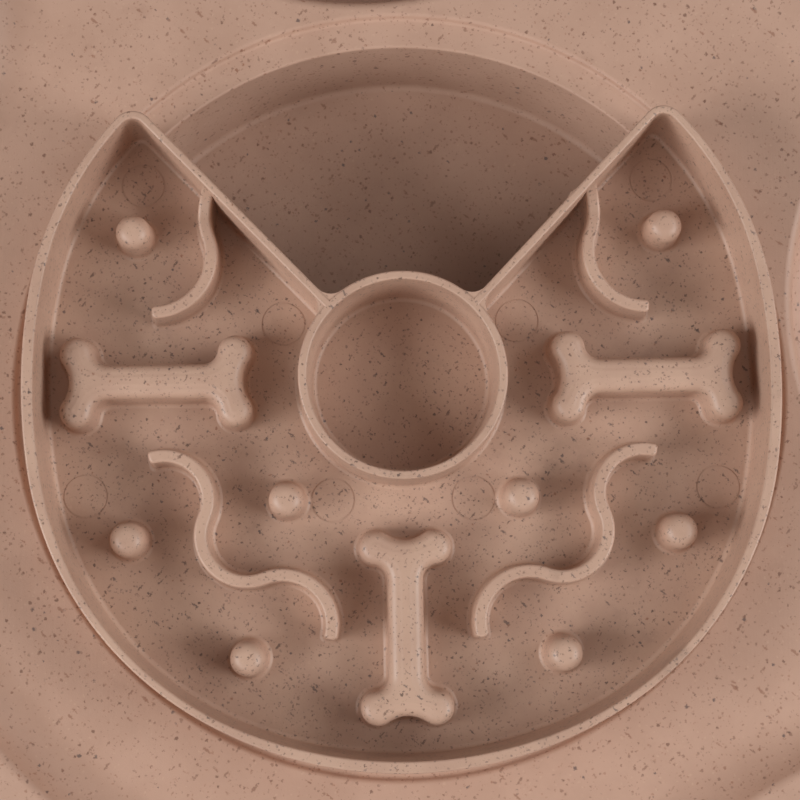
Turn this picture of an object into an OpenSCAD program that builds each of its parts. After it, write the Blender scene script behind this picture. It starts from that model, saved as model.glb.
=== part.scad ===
// Clover-shaped pet feeding tray with a lift-out maze insert for slow feeding.
// The maze insert stands on a ledge in the front well, and two plain wells lie behind it.

/* [Tray] */
// Height of the flat deck above the surface that the tray stands on
deck_h = 50; // [48:1:64]
// Thickness of the moulded shell
shell_t = 2.5; // [2:0.1:3]
// Distance from the edge of each well to the lip's crest line round it
deck_w = 36.5; // [32:0.5:42]
// Width of the deck between the front well's recess and each rear well
well_web = 4.5; // [3:0.5:10]
// Angle between the two rear wells, seen from the front well
well_spread = 86.8; // [84:0.2:90]
// Radius of the crest line at each waist between the front and a rear lobe
side_waist_r = 78; // [70:1:90]
// Radius of the crest line at the waist between the rear lobes
back_waist_r = 90; // [80:1:100]

/* [Tray lip] */
// Height of the lip above the deck
lip_h = 8; // [6:0.5:10]
// Width of the lip from its crest line to the outer wall
lip_w = 14; // [11:0.5:16]
// Width of the hollow curve that rises from the deck to the crest line
cove_w = 14; // [12:0.5:16]
// Rounding along the lip's outer edge
lip_edge_r = 4; // [3.5:0.1:5]
// Rounding along the crest line
crest_r = 1.2; // [0.8:0.1:1.6]
// Slope of the outer wall from upright
skirt_draft = 3; // [1:0.5:5]

/* [Front well] */
// Room between the insert's flattened sides and the shallow recess that it drops into
insert_room = 5; // [4.5:0.25:6.5]
// Depth of that recess below the deck
recess_d = 1.6; // [1.2:0.1:2.4]
// Width of the ledge that carries the insert
ledge_w = 8; // [7:0.25:9]
// Depth of the front well's floor below the deck
front_well_d = 26.6; // [22:0.2:34]
// Slope of the front well's wall from upright
front_well_draft = 8; // [4:0.5:10]
// Rounding between the front well's wall and floor
front_well_fillet = 2; // [1:0.25:5]
// Rounding along the ledge's inner edge
ledge_edge_r = 0.8; // [0.4:0.1:1.2]

/* [Rear wells] */
// Radius of each rear well at the deck
rear_well_r = 86; // [80:0.5:88]
// Depth of each rear well's floor below the deck
rear_well_d = 42; // [34:0.5:43]
// Slope of the rear wells' walls from upright
rear_well_draft = 7; // [4:0.5:10]
// Rounding between the rear wells' walls and floors
rear_well_fillet = 12; // [6:0.5:16]
// Rounding along the rear wells' mouths
rear_mouth_r = 3; // [2:0.25:4]

/* [Feet] */
// Radius of each foot's pad
pad_r = 8.5; // [7:0.25:9]
// Height of each foot's pad, which is the gap under the tray
pad_h = 3; // [2:0.25:4]
// Radius of each foot's stem
stem_r = 3.9; // [3:0.1:4.5]
// Length of each foot's stem
stem_l = 8; // [6:0.5:12]
// Bevel round the pad's lower edge and the stem's tip
foot_bevel = 0.8; // [0.5:0.1:1.2]
// Clearance round each stem
stem_fit = 0.1; // [0.05:0.05:0.2]
// Radius of the bosses that hold the feet
boss_r = 7.5; // [7:0.25:7.75]
// Distance from the crest line in to the middle of each boss
boss_inset = 23; // [22:0.25:23]
// Thickness of the rib that ties each boss to the outer wall
boss_rib_t = 2; // [1.5:0.1:2.5]

/* [Insert outline] */
// Half width of the insert across its middle
insert_half_w = 95.5; // [95:0.1:96]
// How much further the closed end lies from the insert's centre than the flattened sides do
end_longer = 2.2; // [1.7:0.1:2.5]
// How much larger the radius of the flattened sides is than the insert's half width
side_flatter = 54.5; // [50:0.5:60]
// How much smaller the radius of the rounded corners is than the insert's half width
corner_tighter = 8.5; // [7.5:0.25:9.5]
// How much larger the radius of the closed end is than the insert's half width
end_flatter = 6.5; // [5.5:0.5:8.5]
// Turn of the insert in its recess, from the tray's own back
insert_turn = 40.65; // [0:0.1:90]
// Distance that the insert has slipped towards its notch in the loose recess
insert_slip = 0.6; // [0:0.1:0.8]

/* [Insert walls] */
// Height of the insert from its underside to its rim
insert_h = 22.2; // [20:0.2:26]
// Thickness of the maze floor
floor_t = 2.2; // [1.8:0.1:2.8]
// Thickness of the rim at the flattened sides
side_wall_t = 2.9; // [2.5:0.1:3.2]
// Thickness of the rim at the closed end
end_wall_t = 3; // [2.6:0.1:3.3]
// How much tighter the pocket's sides are curved than the flattened sides outside
pocket_side_tighter = 10; // [6:0.5:14]
// How much tighter the pocket's corners are curved than the corners outside
pocket_corner_tighter = 6; // [5:0.25:7]
// How much flatter the pocket's closed end is than the closed end outside
pocket_end_flatter = 5; // [3:0.5:8]
// Slope of the insert's walls from upright
wall_draft = 1; // [0.5:0.25:1.5]
// Rounding along the top edges of the walls
rim_edge_r = 0.6; // [0.4:0.1:0.8]
// Fillet where walls, pegs, bones and waves rise from the maze floor
foot_r = 1.4; // [1:0.1:1.6]

/* [Notch] */
// Angle from the insert's axis to each straight wall of the notch
vee_half = 43.7; // [40:0.1:46]
// Thickness of the notch's straight walls
vee_t = 2.1; // [1.8:0.1:2.4]
// Distance from the insert's centre back to the point where the straight walls would meet
vee_back = 0.5; // [0.2:0.1:1]
// Radius of the pointed horns beside the notch
horn_r = 5.5; // [5:0.25:6.5]
// Radius of the webs where the straight walls join the cup
web_r = 4.5; // [3:0.25:6]

/* [Cup] */
// Outer radius of the middle cup's rim
cup_r = 26.4; // [25:0.2:28]
// Thickness of the middle cup's rim
cup_wall_t = 2.2; // [1.8:0.1:2.6]
// Distance from the insert's centre forward to the middle cup's centre
cup_ahead = 1; // [0.5:0.1:1.5]
// Drop of the middle cup's floor below the insert's underside
cup_drop = 1; // [0.5:0.1:2]
// Slope of the middle cup's inside from upright
cup_draft = 2.2; // [1.5:0.1:3]
// Rounding between the middle cup's wall and floor
cup_fillet = 1.5; // [1:0.1:3]

/* [Maze] */
// Height of the pegs, bones and waves above the maze floor
maze_h = 12; // [10:0.2:14]
// Radius of a peg at its foot
peg_r = 5; // [4.5:0.1:5.5]
// Rounding of a peg's top
peg_round = 3.4; // [3:0.1:3.6]
// Slope of a peg's side from upright
peg_draft = 3.5; // [2:0.25:4]
// Distance from the middle of a bone to its knobs, along the bone
bone_knob_l = 20.2; // [19:0.2:21]
// Distance from the middle of a bone to its knobs, across the bone
bone_knob_w = 7.4; // [7:0.1:7.8]
// Radius of a bone's knobs at the foot
knob_r = 4.7; // [4.5:0.1:5]
// Width of a bone's shank at the foot
shank_w = 9.6; // [9:0.1:10]
// Radius of the hollow between a knob and the shank
shank_blend_r = 3.4; // [3:0.1:4]
// Radius of the hollow in the end of a bone
bone_end_r = 8; // [7:0.25:9]
// Rounding of a bone's top
bone_round = 2.8; // [2.4:0.1:3]
// Slope of a bone's side from upright
bone_draft = 2.5; // [1.5:0.25:3]
// Width of a wave's top
wave_w = 3.3; // [3:0.1:3.6]
// Rounding of a wave's top
wave_round = 0.8; // [0.6:0.1:0.9]
// Slope of a wave's side from upright
wave_draft = 1.5; // [1:0.25:2]
// Radii of the three bends of a long wave
long_wave_r = [11.2, 11.7, 12.6]; // [10:0.1:14]
// Turns of those bends
long_wave_turns = [126.6, -134.6, 122.5]; // [-140:0.1:140]
// Heading of a long wave at its outer end
long_wave_heading = 167.2; // [160:0.2:175]
// Radii of the two bends of a short wave
short_wave_r = [14.6, 14.7]; // [13:0.1:16]
// Turns of those bends
short_wave_turns = [-45.5, 106.6]; // [-110:0.1:110]
// Heading of a short wave as it leaves the notch's wall
short_wave_heading = -64; // [-70:0.5:-58]
// Distance along the notch's wall to the short wave
short_wave_at = 70; // [66:0.5:74]
// Radius of the ring marks in the maze floor
mark_r = 5.8; // [5:0.1:6]
// Width of a ring mark's groove
mark_w = 0.4; // [0.3:0.05:0.6]
// Depth of a ring mark's groove
mark_d = 0.15; // [0.1:0.05:0.3]

/* [Hidden] */
$fn = 128;
tray_tint = [0.74, 0.60, 0.52];
insert_tint = [0.78, 0.64, 0.56];
rubber_tint = [0.16, 0.15, 0.15];

// How far cuts run past a face, and joined pieces run into each other
lap = 1;
// How far a foot fillet is sunk into the floor that it rises from
sink = 0.06;
// How much fuller a joining piece is than the stretches that end inside it
swell = 0.03;
// How far each stretch stops short of its neighbour inside a joining piece
gap = 0.15;
// Half the length of a joining piece
joiner_l = 0.5;

// The same three sizes for the tray, whose stretches are longer
tray_swell = 0.05;
tray_gap = 0.3;
tray_joiner_l = 0.6;
// How much higher the flat roof of the tray's hollow lies than the roof that its curved edge brings with it
roof_step = 0.06;
// How much fuller the insert's side and end arcs are than its corner arcs
rim_swell = 0.06;
// How much lower the maze floor's plate lies than the floor that the rim's foot brings with it
plate_step = 0.06;

// Steps in the arcs of a section: of small, middling and large roundings
few = 3;
some = 6;
many = 10;

// Places on the maze floor, as shares of the insert's half width, for its right half
peg_shares = [[0.72, 0.42], [0.314, -0.308], [0.736, -0.408], [0.42, -0.727]];
mark_shares = [[0.703, 0.57], [0.319, 0.179], [0.862, -0.286], [0.192, -0.306]];
side_bone_shares = [0.66, 0.0126];
end_bone_share = -0.651;
long_wave_shares = [0.664, -0.191];

// Headings of the feet round the centre of the lobe that carries them
front_foot_turn = -40;
side_foot_turn = -25;
rear_foot_turn = 85;

function heading(v) = atan2(v[1], v[0]);
function along(a) = [cos(a), sin(a)];
function flipped(p) = [-p[0], p[1]];
function arc(c, r, from, to, steps) =
    [for (i = [0 : steps]) c + r * along(from + (to - from) * i / steps)];
function moved(points, by) = [for (p = points) p + by];
function facing_in(points, x) = [for (p = points) [x - p[0], p[1]]];
function backwards(points) = [for (i = [len(points) - 1 : -1 : 0]) points[i]];

// Point at distance ra from a and rb from b, on the right of the way from a to b
function meet(a, ra, b, rb) =
    let (v = b - a, l = norm(v), x = (ra * ra - rb * rb + l * l) / (2 * l))
    a + v / l * x + [v[1], -v[0]] / l * sqrt(ra * ra - x * x);

// Distance from p along the unit vector u to the far side of a circle
function reach(p, u, centre, r) =
    let (q = p - centre, b = q * u)
    -b + sqrt(b * b - q * q + r * r);

insert_end_l = insert_half_w + end_longer;
side_arc_r = insert_half_w + side_flatter;
corner_arc_r = insert_half_w - corner_tighter;
end_arc_r = insert_half_w + end_flatter;

recess_r = insert_half_w + insert_room;
front_lobe_r = recess_r + deck_w;
rear_lobe_r = rear_well_r + deck_w;
well_spacing = recess_r + rear_well_r + well_web;
front_well = [0, 0];
right_well = well_spacing * along(90 - well_spread / 2);
left_well = flipped(right_well);
right_waist = meet(front_well, front_lobe_r + side_waist_r, right_well, rear_lobe_r + side_waist_r);
left_waist = flipped(right_waist);
back_waist = meet(right_well, rear_lobe_r + back_waist_r, left_well, rear_lobe_r + back_waist_r);

// The cove is an arc that leaves the deck level and ends at the crest line
cove_r = (cove_w * cove_w + lip_h * lip_h) / (2 * lip_h);
edge_reach = cove_w + lap;
lip_top = deck_h + lip_h;
edge_at = [lip_w - lip_edge_r, lip_top - lip_edge_r];
skirt_top = edge_at + lip_edge_r * along(skirt_draft);
skirt_out = skirt_top[0] + (skirt_top[1] - pad_h) * tan(skirt_draft);

// The front lobe's centre stands here once the tray's box is centred
front_y = (front_lobe_r - rear_lobe_r - right_well[1]) / 2;

ledge_r = recess_r - ledge_w;
ledge_z = deck_h - recess_d;

wall_h = insert_h - floor_t;
plate_z = floor_t - plate_step;
vee_foot = vee_t / 2 + wall_h * tan(wall_draft);
vee_at = [0, -vee_back];
cup_at = [0, cup_ahead];
wave_foot = wave_w / 2 + maze_h * tan(wave_draft);
band = 4 * vee_t;
climb = wall_h - maze_h;

outer_arcs = [insert_half_w, insert_end_l, side_arc_r, corner_arc_r, end_arc_r];
pocket_arcs = [insert_half_w - side_wall_t, insert_end_l - end_wall_t, side_arc_r - pocket_side_tighter,
               corner_arc_r - pocket_corner_tighter, end_arc_r + pocket_end_flatter];

// Centres of an outline's side arc, corner arc and end arc, for its right half
function arc_centres(arcs) =
    let (side = [arcs[0] - arcs[2], 0], end = [0, arcs[4] - arcs[1]])
    [side, meet(side, arcs[2] - arcs[3], end, arcs[4] - arcs[3]), end];

outer_centres = arc_centres(outer_arcs);
upper_corner = flipped(-outer_centres[1]);
vee_dir = along(90 - vee_half);
vee_side = along(-vee_half);
horn_line = vee_at + (horn_r - vee_t / 2) * vee_side;
horn_at = horn_line + reach(horn_line, vee_dir, upper_corner, corner_arc_r - horn_r) * vee_dir;
horn_turn = heading(horn_at - upper_corner);
horn_s = (horn_at - vee_at) * vee_dir;

// Outline of a raised edge, from the tip of its foot fillet to the start of its flat top.
// Its x runs in from the foot line, and its y runs up from the floor.
function edge_points(h, top_r, draft, steps, fuller = 0) =
    let (top_y = h + fuller - top_r,
         foot_c = [(-foot_r + (foot_r - sink) * sin(draft)) / cos(draft), foot_r - sink],
         top_c = [(top_r + top_y * sin(draft)) / cos(draft), top_y])
    moved(concat([[foot_c[0], -lap]], arc(foot_c, foot_r, -90, -draft, few),
                 arc(top_c, top_r, 180 - draft, 90, steps)), [-fuller, 0]);

// Outline of an upright face with a rounded top edge
function face_points(h, fuller = 0) =
    let (c = [rim_edge_r, h + fuller - rim_edge_r])
    moved(concat([[0, 0]], arc(c, rim_edge_r, 180, 90, few)), [-fuller, 0]);

// Section of a raised edge that reaches as far in as asked
module edge_section(points, depth) {
    top = points[len(points) - 1][1];
    polygon(concat(points, [[depth, top], [depth, points[0][1]]]));
}

// Solid of revolution with a rounded top and a filleted foot
module knob(r, top_r, draft, steps) {
    points = facing_in(edge_points(maze_h, top_r, draft, steps, swell), r);
    top = points[len(points) - 1][1];
    rotate_extrude() polygon(concat(points, [[0, top], [0, -lap]]));
}

// Outline of a tapered pocket from its mouth to its middle, grown on its side, fillet and floor
function pocket_points(top_r, top_z, floor_z, draft, fillet, grow, steps) =
    let (cz = floor_z + fillet,
         c = [top_r - (top_z - cz) * tan(draft) - fillet / cos(draft), cz])
    concat(arc(c, fillet + grow, -draft, -90, steps), [[0, floor_z - grow]]);

// Outline of the rounded mouth of such a pocket
function mouth_points(top_r, top_z, draft, mouth_r, steps) =
    let (c = [top_r - mouth_r * tan(draft) + mouth_r / cos(draft), top_z - mouth_r])
    arc(c, mouth_r, 90, 180 - draft, steps);

// Outline of the cove, the lip and the outer wall, with an upward skin that is moved out by skin
function lip_points(skin) =
    let (cove = [-cove_w, deck_h + cove_r],
         hollow_r = cove_r - skin,
         ridge_r = crest_r + skin,
         ridge_z = lip_top - crest_r,
         ridge_x = sqrt(pow(cove_r + crest_r, 2) - pow(cove[1] - ridge_z, 2)) - cove_w,
         turn = heading([ridge_x, ridge_z] - cove))
    concat([[-edge_reach, pad_h], [-edge_reach, deck_h + skin]],
           arc(cove, hollow_r, -90, turn, many),
           arc([ridge_x, ridge_z], ridge_r, 180 + turn, 90, few),
           arc(edge_at, lip_edge_r + skin, 90, skirt_draft, some),
           [[skirt_out + skin / cos(skirt_draft), pad_h]]);

// Outline of the hollow under the lip, one shell thickness inside it
function under_lip_points(skin) =
    let (cove = [-cove_w, deck_h + cove_r],
         hollow_r = cove_r + shell_t - skin,
         inner_r = lip_edge_r - shell_t + skin,
         top_z = lip_top - shell_t + skin,
         turn = heading([sqrt(hollow_r * hollow_r - pow(cove[1] - top_z, 2)), top_z - cove[1]]),
         wall_top = edge_at + inner_r * along(skirt_draft))
    concat([[-edge_reach, pad_h - lap], [-edge_reach, deck_h - shell_t + skin]],
           arc(cove, hollow_r, -90, turn, many),
           arc(edge_at, inner_r, 90, skirt_draft, few),
           [[wall_top[0] + (wall_top[1] - pad_h + lap) * tan(skirt_draft), pad_h - lap]]);

// Carries an outline round the tray's crest line, over a flat core from bottom to top.
// The fuller outline makes the short joining pieces between the lobes and the waists.
module clover(points, fuller_points, bottom, top) {
    module lobe(centre, r, from, to) {
        trim = tray_gap / r * 180 / PI;
        translate(centre) {
            rotate(from + trim) rotate_extrude(angle = to - from - 2 * trim)
                polygon(moved(points, [r, 0]));
            translate([0, 0, bottom]) cylinder(r = r - edge_reach + lap / 2, h = top - bottom);
            for (turn = [from, to]) joiner(turn, tray_joiner_l) polygon(moved(fuller_points, [r, 0]));
        }
    }
    module waist(centre, r, from, to) {
        trim = tray_gap / r * 180 / PI;
        translate(centre) rotate(from + trim) rotate_extrude(angle = to - from - 2 * trim)
            polygon(facing_in(points, r));
    }
    lobe(front_well, front_lobe_r, heading(left_waist), heading(right_waist));
    lobe(right_well, rear_lobe_r, heading(right_waist - right_well), heading(back_waist - right_well));
    lobe(left_well, rear_lobe_r, heading(back_waist - left_well), 360 + heading(left_waist - left_well));
    waist(right_waist, side_waist_r, heading(right_well - right_waist), heading(-right_waist));
    waist(left_waist, side_waist_r, heading(-left_waist), heading(left_well - left_waist));
    waist(back_waist, back_waist_r, heading(left_well - back_waist), heading(right_well - back_waist));
    translate([0, 0, bottom]) linear_extrude(height = top - bottom) difference() {
        polygon([front_well, right_waist, right_well, back_waist, left_well, left_waist]);
        for (p = [right_waist, left_waist])
            translate(p) circle(r = side_waist_r + edge_reach - lap / 2);
        translate(back_waist) circle(r = back_waist_r + edge_reach - lap / 2);
    }
}

// Short straight stretch of a section, square to the heading from the middle of the frame
module joiner(turn, half_l) {
    rotate(turn) translate([0, half_l, 0]) rotate([90, 0, 0]) linear_extrude(height = 2 * half_l)
        children();
}

module front_well_hollow() {
    rotate_extrude() polygon(concat(
        [[0, deck_h + lap], [recess_r, deck_h + lap], [recess_r, ledge_z]],
        mouth_points(ledge_r, ledge_z, front_well_draft, ledge_edge_r, few),
        pocket_points(ledge_r, ledge_z, deck_h - front_well_d, front_well_draft, front_well_fillet, 0,
                      few)));
}

module front_well_outside() {
    rotate_extrude() polygon(concat(
        [[0, deck_h], [recess_r + shell_t, deck_h], [recess_r + shell_t, ledge_z - shell_t],
         [ledge_r + (1 / cos(front_well_draft) - tan(front_well_draft)) * shell_t, ledge_z - shell_t]],
        pocket_points(ledge_r, ledge_z, deck_h - front_well_d, front_well_draft, front_well_fillet, shell_t,
                      few)));
}

module rear_well_hollow() {
    rotate_extrude() polygon(concat(
        [[0, deck_h + lap]],
        mouth_points(rear_well_r, deck_h, rear_well_draft, rear_mouth_r, some),
        pocket_points(rear_well_r, deck_h, deck_h - rear_well_d, rear_well_draft, rear_well_fillet, 0,
                      some)));
}

module rear_well_outside() {
    rotate_extrude() polygon(concat(
        [[0, deck_h], [rear_well_r + rear_mouth_r + shell_t, deck_h],
         [rear_well_r + rear_mouth_r + shell_t, deck_h - rear_mouth_r],
         [rear_well_r + shell_t / cos(rear_well_draft) - rear_mouth_r * tan(rear_well_draft),
          deck_h - rear_mouth_r - shell_t]],
        pocket_points(rear_well_r, deck_h, deck_h - rear_well_d, rear_well_draft, rear_well_fillet, shell_t,
                      some)));
}

// Boss for a foot, with the rib that ties it to the outer wall
module boss(centre, r, turn) {
    foot_z = pad_h + lap;
    top_z = deck_h - shell_t / 2;
    wall_x = boss_inset + skirt_top[0] - shell_t / 2;
    translate(centre) rotate(turn) translate([r - boss_inset, 0, 0]) {
        translate([0, 0, pad_h]) cylinder(r = boss_r, h = top_z - pad_h);
        translate([0, boss_rib_t / 2, 0]) rotate([90, 0, 0]) linear_extrude(height = boss_rib_t)
            polygon([[0, foot_z], [wall_x + (skirt_top[1] - foot_z) * tan(skirt_draft), foot_z],
                     [wall_x + (skirt_top[1] - top_z) * tan(skirt_draft), top_z], [0, top_z]]);
    }
}

module socket(centre, r, turn) {
    translate(centre) rotate(turn) translate([r - boss_inset, 0, pad_h - lap])
        cylinder(r = stem_r + stem_fit, h = stem_l + stem_fit + lap);
}

module tray_body() {
    difference() {
        union() {
            difference() {
                clover(lip_points(0), lip_points(tray_swell), pad_h, deck_h);
                difference() {
                    clover(under_lip_points(0), under_lip_points(tray_swell), pad_h - lap,
                           deck_h - shell_t + roof_step);
                    front_well_outside();
                    for (p = [right_well, left_well])
                        translate(p) rear_well_outside();
                }
            }
            for (side = [0, 1]) mirror([side, 0, 0]) {
                boss(front_well, front_lobe_r, front_foot_turn);
                boss(right_well, rear_lobe_r, side_foot_turn);
                boss(right_well, rear_lobe_r, rear_foot_turn);
            }
        }
        front_well_hollow();
        for (p = [right_well, left_well])
            translate(p) rear_well_hollow();
        for (side = [0, 1]) mirror([side, 0, 0]) {
            socket(front_well, front_lobe_r, front_foot_turn);
            socket(right_well, rear_lobe_r, side_foot_turn);
            socket(right_well, rear_lobe_r, rear_foot_turn);
        }
    }
}

module tray() {
    color(tray_tint) translate([0, front_y, 0]) tray_body();
}

// Rubber foot with a stem that plugs into a boss
module foot(centre, r, turn, side) {
    color(rubber_tint) translate([0, front_y, 0]) mirror([side, 0, 0])
        translate(centre) rotate(turn) translate([r - boss_inset, 0, 0])
            rotate_extrude() polygon([
                [0, 0], [pad_r - foot_bevel, 0], [pad_r, foot_bevel], [pad_r, pad_h], [stem_r, pad_h],
                [stem_r, pad_h + stem_l - foot_bevel], [stem_r - foot_bevel, pad_h + stem_l],
                [0, pad_h + stem_l]]);
}

// Carries an outline round the insert's arcs, as far up each side as the last angle.
// The side and end arcs are fuller, so the corner arcs end inside them.
module outline_sweep(arcs, last, points, fuller_points) {
    centres = arc_centres(arcs);
    side_turn = heading(centres[1] - centres[0]);
    end_turn = heading(centres[1] - centres[2]);
    tuck = joiner_l / arcs[3] * 180 / PI;
    module sector(centre, r, from, to, outline) {
        translate(centre) rotate(from) rotate_extrude(angle = to - from)
            polygon(moved(outline, [r, 0]));
    }
    for (side = [0, 1]) mirror([side, 0, 0]) {
        sector(centres[0], arcs[2], side_turn, -side_turn, fuller_points);
        sector(centres[1], arcs[3], end_turn - tuck, side_turn + tuck, points);
        sector(flipped(-centres[1]), arcs[3], -side_turn - tuck, last, points);
    }
    sector(centres[2], arcs[4], -180 - end_turn, end_turn, fuller_points);
}

// Outline of the band that holds the rim's outer face
function rim_points(fuller) =
    concat(facing_in(face_points(insert_h, fuller), 0),
           [[-band - fuller, insert_h + fuller], [-band - fuller, 0]]);

// Outline of the maze pocket beside the rim; its rounded mouth ends just under the rim's flat top
function maze_points(fuller) =
    let (cz = floor_t + foot_r,
         c = [-(insert_h - cz) * tan(wall_draft) - foot_r / cos(wall_draft), cz])
    concat([[-band - vee_t, floor_t]],
           moved(arc(c, foot_r, -90, -wall_draft, few), [fuller, 0]),
           moved(backwards(mouth_points(0, insert_h - sink / 2, wall_draft, rim_edge_r, few)), [fuller, 0]),
           [[rim_edge_r + fuller, insert_h + lap], [-band - vee_t, insert_h + lap]]);

// Outline of a straight wall of the notch: x runs towards the notch
function vee_points(fuller) =
    concat(moved(edge_points(wall_h, rim_edge_r, wall_draft, few, fuller), [-vee_foot, floor_t]),
           backwards(facing_in(face_points(insert_h, fuller), vee_t / 2)),
           [[-vee_foot - foot_r, 0]]);

// Frame of the right straight wall: x along it from the meeting point, y towards the notch
module vee_frame() {
    translate(vee_at) rotate(90 - vee_half) children();
}

// Runs a section along x of the current frame
module run_along(from, to) {
    translate([from, 0, 0]) rotate([90, 0, 90]) linear_extrude(height = to - from) children();
}

// Web that fills the corner between the cup and one face of a straight wall
module cup_web(face, bottom) {
    cup = [(cup_at - vee_at) * vee_dir, -(cup_at - vee_at) * vee_side];
    cy = sign(face) * (abs(face) + web_r - swell);
    c = [cup[0] + sqrt(pow(cup_r + web_r - swell, 2) - pow(cy - cup[1], 2)), cy];
    translate([0, 0, bottom]) linear_extrude(height = insert_h - bottom) difference() {
        polygon([cup, c, [c[0], 0]]);
        translate(c) circle(r = web_r);
    }
}

module notch_side() {
    vee_frame() {
        run_along(cup_r - cup_wall_t / 2, horn_s + joiner_l / 2) polygon(vee_points(0));
        cup_web(vee_t / 2, 0);
        cup_web(-vee_t / 2, floor_t - lap);
    }
    translate(horn_at) rotate(horn_turn) rotate_extrude(angle = 180 - vee_half - horn_turn) {
        polygon(moved(vee_points(swell), [horn_r - vee_t / 2, 0]));
        square([horn_r - vee_t / 2, floor_t - plate_step / 2]);
    }
    inner = horn_at - (horn_r - vee_t / 2) * vee_side;
    linear_extrude(height = floor_t - plate_step / 2)
        polygon([horn_at, inner, inner - 2 * band * vee_dir, horn_at - 2 * band * along(horn_turn)]);
}

// Everything between the middles of the two straight walls, above the meeting point
module notch_wedge() {
    far = 2 * insert_end_l;
    translate([0, 0, -lap]) linear_extrude(height = insert_h + 2 * lap)
        polygon([vee_at, vee_at + far * vee_dir, vee_at + far * flipped(vee_dir)]);
}

// Floor plate and rim in one piece, open at the notch, with the shallow ring marks
module dish() {
    difference() {
        union() {
            difference() {
                translate([0, 0, plate_step])
                    cylinder(r = insert_half_w - band / 2, h = floor_t - 2 * plate_step);
                notch_wedge();
            }
            rim_wall();
        }
        for (side = [0, 1], p = mark_shares)
            mirror([side, 0, 0]) translate(p * insert_half_w) translate([0, 0, plate_z - mark_d])
                difference() {
                    cylinder(r = mark_r, h = mark_d + lap);
                    translate([0, 0, -lap]) cylinder(r = mark_r - mark_w, h = mark_d + 3 * lap);
                }
    }
}

module rim_wall() {
    difference() {
        outline_sweep(outer_arcs, horn_turn + joiner_l / 2 / corner_arc_r * 180 / PI, rim_points(0),
                      rim_points(rim_swell));
        outline_sweep(pocket_arcs, 90, maze_points(0), maze_points(rim_swell));
    }
}

// Foot fillet round the cup on the maze floor
module cup_foot() {
    foot = cup_r + wall_h * tan(wall_draft) - swell;
    c = [foot_r - (foot_r - sink) * sin(wall_draft), foot_r - sink];
    translate(concat(cup_at, plate_z)) rotate_extrude() polygon(concat(
        [[foot + c[0], -lap]], arc([foot + c[0], c[1]], foot_r, 270, 180 + wall_draft, few),
        [[cup_r - cup_wall_t / 2, foot_r], [cup_r - cup_wall_t / 2, -lap]]));
}

module cup_body() {
    base_z = -cup_drop - floor_t;
    base_r = cup_r + (insert_h - base_z) * tan(wall_draft);
    translate(cup_at) rotate_extrude() polygon(concat(
        [[0, base_z], [base_r, base_z]],
        arc([cup_r - rim_edge_r, insert_h - rim_edge_r], rim_edge_r, wall_draft, 90, few),
        [[0, insert_h]]));
}

module cup_hollow() {
    translate(cup_at) rotate_extrude() polygon(concat(
        [[0, insert_h + lap], [cup_r - cup_wall_t + rim_edge_r, insert_h + lap]],
        mouth_points(cup_r - cup_wall_t, insert_h, cup_draft, rim_edge_r, few),
        pocket_points(cup_r - cup_wall_t, insert_h, -cup_drop, cup_draft, cup_fillet, 0, few)));
}

// Section across a wave, as high as asked
module wave_section(h, fuller) {
    points = moved(edge_points(h, wave_round, wave_draft, few, fuller), [-wave_foot, 0]);
    polygon(concat(points, backwards(facing_in(points, 0))));
}

// One bend of a wave from p with heading h; a positive turn goes left.
// It stops short of p and of its end by the lengths given.
module bend(p, h, r, turn, height, fuller, short_start, short_end) {
    side = sign(turn);
    from = short_start / r * 180 / PI;
    to = abs(turn) - short_end / r * 180 / PI;
    translate(p + side * r * along(h + 90)) rotate(side > 0 ? h - 90 + from : h + 90 - to)
        rotate_extrude(angle = to - from) translate([r, 0]) wave_section(height, fuller);
}

function bend_end(p, h, r, turn) =
    p + sign(turn) * r * (along(h + 90) - along(h + 90 + turn));

module wave(p, h, radii, turns, i = 0) {
    last = len(turns) - 1;
    bend(p, h, radii[i], turns[i], maze_h, 0, i > 0 ? gap : 0, i < last ? gap : 0);
    q = bend_end(p, h, radii[i], turns[i]);
    if (i < last) {
        translate(q) joiner(h + turns[i] - 90, joiner_l) wave_section(maze_h, swell);
        wave(q, h + turns[i], radii, turns, i + 1);
    } else {
        translate(q) knob(wave_foot, wave_round, wave_draft, few);
    }
}

module long_wave() {
    start = long_wave_shares * insert_half_w;
    translate(start) knob(wave_foot, wave_round, wave_draft, few);
    wave(start, long_wave_heading, long_wave_r, long_wave_turns);
}

// A short wave climbs to the rim where it meets the notch's wall
module short_wave() {
    start = vee_at + short_wave_at * vee_dir + vee_t / 4 * vee_side;
    translate([0, 0, plate_z]) {
        wave(start, short_wave_heading, short_wave_r, short_wave_turns);
        intersection() {
            bend(start, short_wave_heading, short_wave_r[0], short_wave_turns[0], wall_h - lap / 2, swell,
                 0, 0);
            vee_frame() run_along(short_wave_at - 2 * climb, short_wave_at + climb) difference() {
                translate([-vee_t / 2 - climb, -lap]) square([vee_t / 2 + climb, wall_h + lap]);
                translate([-vee_t / 2 - climb, wall_h]) circle(r = climb + sink);
            }
        }
    }
}

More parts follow.
